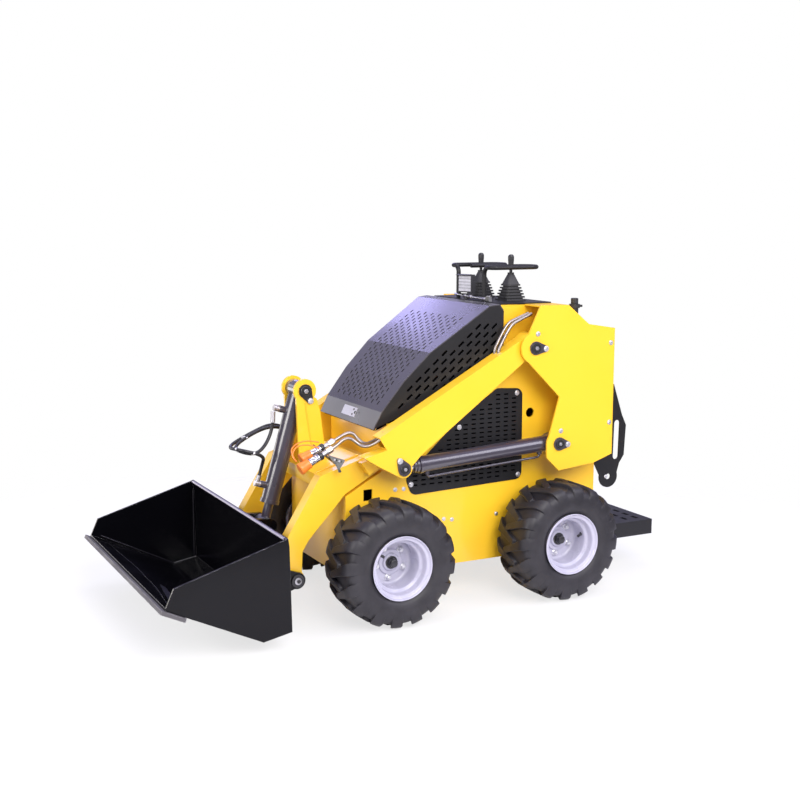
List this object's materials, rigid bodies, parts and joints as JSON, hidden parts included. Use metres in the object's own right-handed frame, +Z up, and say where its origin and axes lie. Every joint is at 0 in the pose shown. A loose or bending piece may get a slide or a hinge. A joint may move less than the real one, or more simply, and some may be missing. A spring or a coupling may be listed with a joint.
{
  "type": "compact stand-on skid steer loader",
  "caption": "Wheeled compact loader with a sloping hood, a lift boom on two cylinders, a tilting bucket and a rear platform for a standing operator.",
  "frame": {"origin": "on the ground, midway between the platform's rear edge and the bucket's lip, on the machine's middle plane", "axes": "+X forward, towards the bucket, +Y to the machine's left, +Z up"},
  "size_m": [2.23, 1.076, 1.33],
  "materials": {
    "yellow_paint": "warm yellow gloss enamel",
    "dark_paint": "dark grey satin paint",
    "black_paint": "black satin paint",
    "bucket_black": "near-black gloss paint, worn at its edges",
    "worn_steel": "bare worn steel",
    "cylinder_black": "black satin paint",
    "chrome": "polished chrome",
    "rim_silver": "silver gloss paint",
    "tyre_rubber": "dark rubber",
    "black_rubber": "black rubber",
    "black_plastic": "black grained plastic",
    "grey_plastic": "grey lamp housing",
    "cast_metal": "dull cast metal",
    "orange_plastic": "orange glossy plastic",
    "zinc": "zinc plate"
  },
  "bodies": {
    "chassis": {"belly_plate": "yellow_paint", "front_plate": "yellow_paint", "firewall": "yellow_paint", "rear_panel": "yellow_paint", "dash_console": "black_paint", "engine_block": "cast_metal", "wheel_motors": "black_paint", "rear_platform": "black_paint", "pivot_pins": "cylinder_black", "hand_rails": "black_paint", "control_levers": "black_plastic", "lever_boots": "black_rubber", "work_lamp": "grey_plastic", "filler_cap": "black_plastic", "hood_hinges": "black_paint", "side_plate_left": "yellow_paint", "side_plate_right": "yellow_paint", "tower_left": "yellow_paint", "tower_right": "yellow_paint", "grille_left": "black_paint", "grille_right": "black_paint", "guard_bracket_left": "black_paint", "guard_bracket_right": "black_paint"},
    "hood": {"hood": "dark_paint", "hood_side_left": "black_paint", "hood_side_right": "black_paint"},
    "boom": {"crosshead": "yellow_paint", "tilt_ears": "yellow_paint", "tilt_ear_pin": "cylinder_black", "rod_pin_bosses": "cylinder_black", "boom_pipes": "chrome", "aux_couplers": "zinc", "coupler_caps": "orange_plastic", "hose_gland_blocks": "zinc", "beam_left": "yellow_paint", "beam_right": "yellow_paint", "leg_left": "yellow_paint", "leg_right": "yellow_paint"},
    "lift_barrel_left": {"lift_barrel_left": "cylinder_black"},
    "lift_barrel_right": {"lift_barrel_right": "cylinder_black"},
    "lift_rod_left": {"lift_rod_left": "chrome"},
    "lift_rod_right": {"lift_rod_right": "chrome"},
    "tilt_barrel": {"tilt_barrel": "cylinder_black", "hose_fittings": "zinc", "tilt_hose_upper": "black_rubber", "tilt_hose_lower": "black_rubber"},
    "tilt_rod": {"tilt_rod": "chrome"},
    "bucket": {"bucket": "bucket_black", "cutting_edge": "worn_steel", "hitch_plate": "bucket_black", "hitch_pins": "cylinder_black"},
    "wheel_front_left": {"rim_front_left": "rim_silver", "tyre_front_left": "tyre_rubber"},
    "wheel_front_right": {"rim_front_right": "rim_silver", "tyre_front_right": "tyre_rubber"},
    "wheel_rear_left": {"rim_rear_left": "rim_silver", "tyre_rear_left": "tyre_rubber"},
    "wheel_rear_right": {"rim_rear_right": "rim_silver", "tyre_rear_right": "tyre_rubber"}
  },
  "joints": [
    {"name": "hood_open", "type": "hinge", "parent": "chassis", "child": "hood", "pos_m": [-0.306, 0, 1.133], "axis": [0, -1, 0], "range_deg": [0, 60]},
    {"name": "boom_lift", "type": "hinge", "parent": "chassis", "child": "boom", "pos_m": [-0.417, 0, 0.982], "axis": [0, -1, 0], "range_deg": [0, 70]},
    {"name": "bucket_tilt", "type": "hinge", "parent": "boom", "child": "bucket", "pos_m": [0.533, 0, 0.165], "axis": [0, 1, 0], "range_deg": [0, 105]},
    {"name": "tilt_barrel_swing", "type": "hinge", "parent": "boom", "child": "tilt_barrel", "pos_m": [0.406, 0, 0.828], "axis": [0, -1, 0], "range_deg": [0, 4.47]},
    {"name": "tilt_rod_slide", "type": "slide", "parent": "tilt_barrel", "child": "tilt_rod", "axis": [0.278, 0, -0.9606], "range_m": [0, 0.24296]},
    {"name": "lift_barrel_swing_left", "type": "hinge", "parent": "chassis", "child": "lift_barrel_left", "pos_m": [-0.535, 0.332, 0.6], "axis": [0, -1, 0], "range_deg": [0, 50.62]},
    {"name": "lift_rod_slide_left", "type": "slide", "parent": "lift_barrel_left", "child": "lift_rod_left", "axis": [0.9981, 0, -0.0623], "range_m": [0, 0.36211]},
    {"name": "lift_barrel_swing_right", "type": "hinge", "parent": "chassis", "child": "lift_barrel_right", "pos_m": [-0.535, -0.332, 0.6], "axis": [0, -1, 0], "range_deg": [0, 50.62]},
    {"name": "lift_rod_slide_right", "type": "slide", "parent": "lift_barrel_right", "child": "lift_rod_right", "axis": [0.9981, 0, -0.0623], "range_m": [0, 0.36211]},
    {"name": "wheel_front_left_spin", "type": "hinge", "parent": "chassis", "child": "wheel_front_left", "pos_m": [0.22, 0.412, 0.23], "axis": [0, 1, 0], "continuous": true},
    {"name": "wheel_front_right_spin", "type": "hinge", "parent": "chassis", "child": "wheel_front_right", "pos_m": [0.22, -0.412, 0.23], "axis": [0, 1, 0], "continuous": true},
    {"name": "wheel_rear_left_spin", "type": "hinge", "parent": "chassis", "child": "wheel_rear_left", "pos_m": [-0.514, 0.412, 0.23], "axis": [0, 1, 0], "continuous": true},
    {"name": "wheel_rear_right_spin", "type": "hinge", "parent": "chassis", "child": "wheel_rear_right", "pos_m": [-0.514, -0.412, 0.23], "axis": [0, 1, 0], "continuous": true}
  ],
  "couplings": [
    {"joint": "tilt_barrel_swing", "follows": "bucket_tilt", "ratio": 0.042485},
    {"joint": "tilt_rod_slide", "follows": "bucket_tilt", "m_per_rad": 0.13257},
    {"joint": "lift_barrel_swing_left", "follows": "boom_lift", "ratio": 0.72306},
    {"joint": "lift_rod_slide_left", "follows": "boom_lift", "m_per_rad": 0.29638},
    {"joint": "lift_barrel_swing_right", "follows": "boom_lift", "ratio": 0.72306},
    {"joint": "lift_rod_slide_right", "follows": "boom_lift", "m_per_rad": 0.29638}
  ]
}
